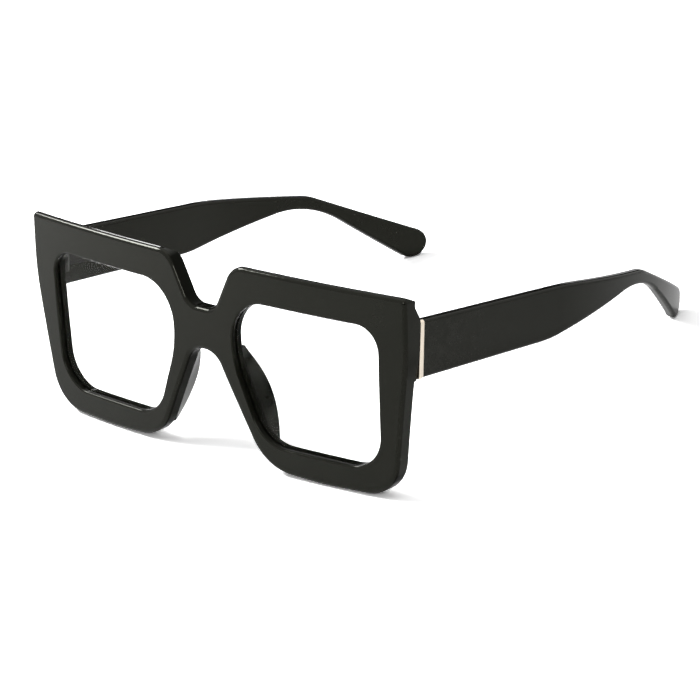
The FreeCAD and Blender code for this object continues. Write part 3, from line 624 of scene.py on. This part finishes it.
@dataclass(frozen=True)
class WorkedMetal:
    """Brushed, drawn or polished metal."""

    CLOUD_SCALE: ClassVar[float] = 220.0
    CLOUD_SHARE: ClassVar[float] = 0.6
    CLOUD_HAZE: ClassVar[float] = 0.06
    SCRATCH_SCALE: ClassVar[float] = 2.0
    SCRATCH_AMOUNT: ClassVar[float] = 0.6
    SCRATCH_HAZE: ClassVar[float] = 0.15
    WEAR_SCALE: ClassVar[float] = 900.0
    WEAR_GAIN: ClassVar[float] = 1.08
    RELIEF_STRENGTH: ClassVar[float] = 0.3
    RELIEF_DEPTH: ClassVar[float] = 0.00001

    name: str
    bright: Colour
    dull: Colour
    roughness: float
    lines: float
    wear: float

    def build(self) -> bpy.types.Material:
        """Make the material.

        Returns:
            The finished material.
        """
        material, graph, shader = new_material(self.name)
        shader.inputs["Metallic"].default_value = 1.0
        brushed = graph.effect(EFFECTS.brushing, Scale=1.0, Amount=1.0)
        cloud = graph.effect(EFFECTS.polish_cloud, Scale=self.CLOUD_SCALE, Amount=1.0)
        scratches = graph.effect(EFFECTS.hairlines, Scale=self.SCRATCH_SCALE, Amount=self.SCRATCH_AMOUNT)
        worn = graph.effect(EFFECTS.edge_wear, Amount=self.wear, Scale=self.WEAR_SCALE)
        tone = graph.blend(graph.math("MULTIPLY", cloud, self.CLOUD_SHARE), self.bright, self.dull)
        tone = graph.blend(worn, tone, tuple(min(1.0, part * self.WEAR_GAIN) for part in self.bright))
        rough = graph.layered(
            self.roughness,
            (brushed, self.lines),
            (cloud, self.CLOUD_HAZE),
            (scratches, self.SCRATCH_HAZE),
        )
        marks = graph.math("SUBTRACT", brushed, scratches)
        normal = graph.relief(marks, self.RELIEF_STRENGTH, self.RELIEF_DEPTH)
        graph.feed(shader, Base_Color=tone, Roughness=rough, Normal=normal)
        return material


Finish = Union[PolishedPlastic, ClearLens, WorkedMetal]

FRAME_BLACK = FrontPlastic(
    name="buffed_black_plastic",
    deep=(0.0042, 0.0044, 0.0031),
    cloud=(0.0066, 0.0069, 0.0051),
    rubbed=(0.026, 0.026, 0.023),
    roughness=0.07,
    haze=0.05,
    specular=0.19,
)
TEMPLE_BLACK = PolishedPlastic(
    name="buffed_black_temple",
    deep=(0.0044, 0.0046, 0.0033),
    cloud=(0.0068, 0.0071, 0.0053),
    rubbed=(0.028, 0.028, 0.025),
    roughness=0.08,
    haze=0.05,
    specular=0.19,
)
PAD_GREY = PolishedPlastic(
    name="buffed_grey_pad",
    deep=(0.0062, 0.0064, 0.005),
    cloud=(0.0095, 0.0098, 0.008),
    rubbed=(0.03, 0.03, 0.027),
    roughness=0.1,
    haze=0.06,
    specular=0.17,
    dust=0.05,
)
LENS_CLEAR = ClearLens(name="clear_lens_plastic", tint=(0.995, 0.998, 0.997), ior=1.08)
TRIM_GOLD = WorkedMetal(
    name="pale_gold_plate",
    bright=(0.98, 0.88, 0.75),
    dull=(0.92, 0.8, 0.65),
    roughness=0.14,
    lines=0.08,
    wear=0.4,
)
HINGE_BLACK = WorkedMetal(
    name="black_plated_hinge",
    bright=(0.035, 0.035, 0.032),
    dull=(0.022, 0.022, 0.02),
    roughness=0.24,
    lines=0.12,
    wear=0.5,
)
SCREW_STEEL = WorkedMetal(
    name="turned_steel",
    bright=(0.72, 0.71, 0.69),
    dull=(0.55, 0.54, 0.52),
    roughness=0.2,
    lines=0.1,
    wear=0.6,
)
WIRE_STEEL = WorkedMetal(
    name="drawn_wire",
    bright=(0.6, 0.59, 0.57),
    dull=(0.45, 0.44, 0.42),
    roughness=0.3,
    lines=0.2,
    wear=0.2,
)


def dress(node: str, finish: Finish) -> None:
    """Give a part its finish, made once for all the parts that wear it, and report it.

    Args:
        node: the part's name.
        finish: what it wears.
    """
    material = bpy.data.materials.get(finish.name) or finish.build()
    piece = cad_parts[node]
    piece.data.materials.clear()
    piece.data.materials.append(material)
    LOG.info("%s wears %s", node, material.name)


@dataclass(frozen=True)
class FrontAssembly:
    """The front with its lenses, nose pads and the fixed half of each hinge."""

    plastic: FrontPlastic = FRAME_BLACK
    pad: PolishedPlastic = PAD_GREY
    lens: ClearLens = LENS_CLEAR
    leaf: WorkedMetal = HINGE_BLACK
    screw: WorkedMetal = SCREW_STEEL

    def build(self) -> None:
        """Dress the front's parts. The lenses let the lamps through."""
        dress("front_frame", self.plastic)
        for side in Side:
            dress(f"nose_pad_{side.word}", self.pad)
            dress(f"lens_{side.word}", self.lens)
            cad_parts[f"lens_{side.word}"].visible_shadow = False
            dress(f"front_hinge_leaf_{side.word}", self.leaf)
            dress(f"front_hinge_rivets_{side.word}", self.leaf)
            dress(f"hinge_screw_{side.word}", self.screw)


@dataclass(frozen=True)
class TempleAssembly:
    """Both temples with their gold ends, hinge halves and core wires."""

    plastic: PolishedPlastic = TEMPLE_BLACK
    trim: WorkedMetal = TRIM_GOLD
    leaf: WorkedMetal = HINGE_BLACK
    wire: WorkedMetal = WIRE_STEEL

    def build(self) -> None:
        """Dress the parts of both temples."""
        for side in Side:
            dress(f"temple_{side.word}", self.plastic)
            dress(f"temple_trim_{side.word}", self.trim)
            dress(f"temple_hinge_leaf_{side.word}", self.leaf)
            dress(f"temple_hinge_rivets_{side.word}", self.leaf)
            dress(f"core_wire_{side.word}", self.wire)


@dataclass(frozen=True)
class Softbox:
    """A rectangular studio lamp aimed at the glasses."""

    AIM: ClassVar[Point] = (0.0, 0.0, 0.03)

    name: str
    place: Point
    width: float
    height: float
    power: float

    def build(self) -> None:
        """Hang the lamp and aim it."""
        data = bpy.data.lights.new(self.name, "AREA")
        data.shape = "RECTANGLE"
        data.size = self.width
        data.size_y = self.height
        data.energy = self.power
        lamp = bpy.data.objects.new(self.name, data)
        lamp.location = self.place
        beam = Vector(self.AIM) - Vector(self.place)
        lamp.rotation_euler = beam.to_track_quat("-Z", "Y").to_euler()
        bpy.context.scene.collection.objects.link(lamp)


def flat_sheet(
    name: str,
    half_x: float,
    half_y: float,
    level: float,
    material: bpy.types.Material,
) -> bpy.types.Object:
    """Make a rectangle of the studio and link it to the scene.

    Args:
        name: the sheet's name.
        half_x: half its width in metres.
        half_y: half its height in metres.
        level: height of its corners over its own origin.
        material: what it is made of.

    Returns:
        The sheet.
    """
    mesh = bpy.data.meshes.new(name)
    corners = [(x * half_x, y * half_y, level) for x, y in ((-1, -1), (1, -1), (1, 1), (-1, 1))]
    mesh.from_pydata(corners, [], [(0, 1, 2, 3)])
    mesh.materials.append(material)
    sheet = bpy.data.objects.new(name, mesh)
    bpy.context.scene.collection.objects.link(sheet)
    return sheet


@dataclass(frozen=True)
class Flag:
    """A black card that keeps white off the glossy edges, turned to the glasses and unseen itself."""

    name: str
    place: Point
    width: float
    height: float

    def build(self, black: bpy.types.Material) -> None:
        """Stand the card up and face it to the glasses.

        Args:
            black: the card's material.
        """
        card = flat_sheet(self.name, self.width / 2, self.height / 2, 0.0, black)
        place = Vector(self.place)
        card.matrix_world = Matrix.Translation(place) @ place.to_track_quat("Z", "Y").to_matrix().to_4x4()
        card.visible_camera = False
        card.visible_transmission = False


@dataclass(frozen=True)
class Studio:
    """White floor and surroundings with soft lamps and black cards."""

    WHITE: ClassVar[Colour] = (1.0, 1.0, 1.0)
    FELT_BLACK: ClassVar[Colour] = (0.01, 0.01, 0.01)

    floor_half: float = 3.0
    floor_drop: float = 0.00005
    floor_tone: Colour = (0.9, 0.9, 0.9)
    seen_half: Colour = (0.92, 0.92, 0.92)
    sky_light: float = 0.3
    lamps: Tuple[Softbox, ...] = (
        Softbox("overhead_box", place=(0.1, -0.1, 1.3), width=1.6, height=1.4, power=5.0),
        Softbox("brow_box", place=(-0.56, -0.2, 0.533), width=0.3, height=0.2, power=6.0),
        Softbox("edge_strip", place=(-0.3422, 0.2333, 0.1662), width=0.033, height=0.02, power=0.02),
        Softbox("front_box", place=(0.53, -0.93, 0.49), width=0.36, height=0.36, power=4.0),
    )
    flags: Tuple[Flag, ...] = (
        Flag("back_flag", place=(-0.75, 0.78, 0.36), width=1.3, height=0.6),
        Flag("room_flag", place=(1.2, -1.5, 0.62), width=2.4, height=1.2),
    )

    def seen_by(self, graph: Graph, *rays: Ray) -> Socket:
        """Where rays of some kinds reach the surroundings.

        Args:
            graph: the graph of the floor's material or of the world.
            rays: the kinds of ray.

        Returns:
            A mask that is 1 for those rays.
        """
        path = graph.add("ShaderNodeLightPath")
        total = path.outputs[rays[0].value]
        for ray in rays[1:]:
            total = graph.math("MAXIMUM", total, path.outputs[ray.value])
        return total

    def floor_material(self) -> bpy.types.Material:
        """Matt pale floor, shown lighter to the camera, which leaves the shadows near the feet.

        Returns:
            The floor's material.
        """
        material, graph = blank_material("white_floor")
        plain = graph.feed(graph.add("ShaderNodeBsdfDiffuse"), Color=(*self.floor_tone, 1.0))
        half = graph.feed(graph.add("ShaderNodeBsdfDiffuse"), Color=(*self.seen_half, 1.0))
        seen = graph.add("ShaderNodeAddShader")
        for socket in seen.inputs:
            graph.put(socket, half.outputs[0])
        pick = graph.add("ShaderNodeMixShader")
        rays = self.seen_by(graph, Ray.CAMERA, Ray.TRANSMISSION)
        for socket, value in zip(pick.inputs, (rays, plain.outputs[0], seen.outputs[0])):
            graph.put(socket, value)
        graph.feed(graph.add("ShaderNodeOutputMaterial"), Surface=pick.outputs[0])
        return material

    def card_material(self) -> bpy.types.Material:
        """Black felt of the cards.

        Returns:
            The cards' material.
        """
        material, graph, shader = new_material("black_card")
        graph.feed(shader, Base_Color=(*self.FELT_BLACK, 1.0), Roughness=1.0, Specular_IOR_Level=0.0)
        return material

    def world(self) -> bpy.types.World:
        """A plain sky, white to the camera, to mirrors and to glass, and dimmer as a light.

        Returns:
            The world.
        """
        world = bpy.data.worlds.new("studio_world")
        world.use_nodes = True
        world.node_tree.nodes.clear()
        graph = Graph(world.node_tree)
        level = graph.span(self.seen_by(graph, *Ray), 0.0, 1.0, self.sky_light, 1.0)
        sky = graph.feed(graph.add("ShaderNodeBackground"), Color=(*self.WHITE, 1.0), Strength=level)
        graph.feed(graph.add("ShaderNodeOutputWorld"), Surface=sky.outputs[0])
        return world

    def build(self) -> None:
        """Lay the floor, light the world, hang the lamps and stand the cards up."""
        half = self.floor_half
        floor = flat_sheet("studio_floor", half, half, -self.floor_drop, self.floor_material())
        bpy.context.scene.world = self.world()
        for lamp in self.lamps:
            lamp.build()
        black = self.card_material()
        for flag in self.flags:
            flag.build(black)
        bpy.context.scene.view_settings.view_transform = "Standard"
        LOG.info("studio has %d lamps and %d cards", len(self.lamps), len(self.flags))


@dataclass(frozen=True)
class PhotoCamera:
    """The viewpoint of the photograph, with angles in degrees and the lens in millimetres."""

    eye: Point = (0.77532, -0.77941, 0.45973)
    azimuth: float = 45.410
    elevation: float = 22.418
    roll: float = -6.972
    focal_length: float = 202.72
    sensor: float = 36.0
    clip_start: float = 0.01

    def build(self) -> None:
        """Place the camera and make it the scene's own."""
        around, above, tilt = (math.radians(angle) for angle in (self.azimuth, self.elevation, self.roll))
        level = Vector((math.cos(around), math.sin(around), 0.0))
        ahead = Vector((
            -math.sin(around) * math.cos(above),
            math.cos(around) * math.cos(above),
            -math.sin(above),
        ))
        upright = level.cross(ahead)
        right = level * math.cos(tilt) + upright * math.sin(tilt)
        up = upright * math.cos(tilt) - level * math.sin(tilt)
        data = bpy.data.cameras.new("photo_camera")
        data.sensor_width = self.sensor
        data.lens = self.focal_length
        data.clip_start = self.clip_start
        camera = bpy.data.objects.new("photo_camera", data)
        turn = Matrix((right, up, -ahead)).transposed().to_4x4()
        camera.matrix_world = Matrix.Translation(Vector(self.eye)) @ turn
        bpy.context.scene.collection.objects.link(camera)
        bpy.context.scene.camera = camera
        LOG.info("camera looks from %s", self.eye)


def main() -> None:
    """Dress the glasses, set the studio and place the camera."""
    logging.basicConfig(level=logging.INFO)
    PhotoCamera().build()
    FrontAssembly().build()
    TempleAssembly().build()
    Studio().build()


if __name__ == "__main__":
    main()
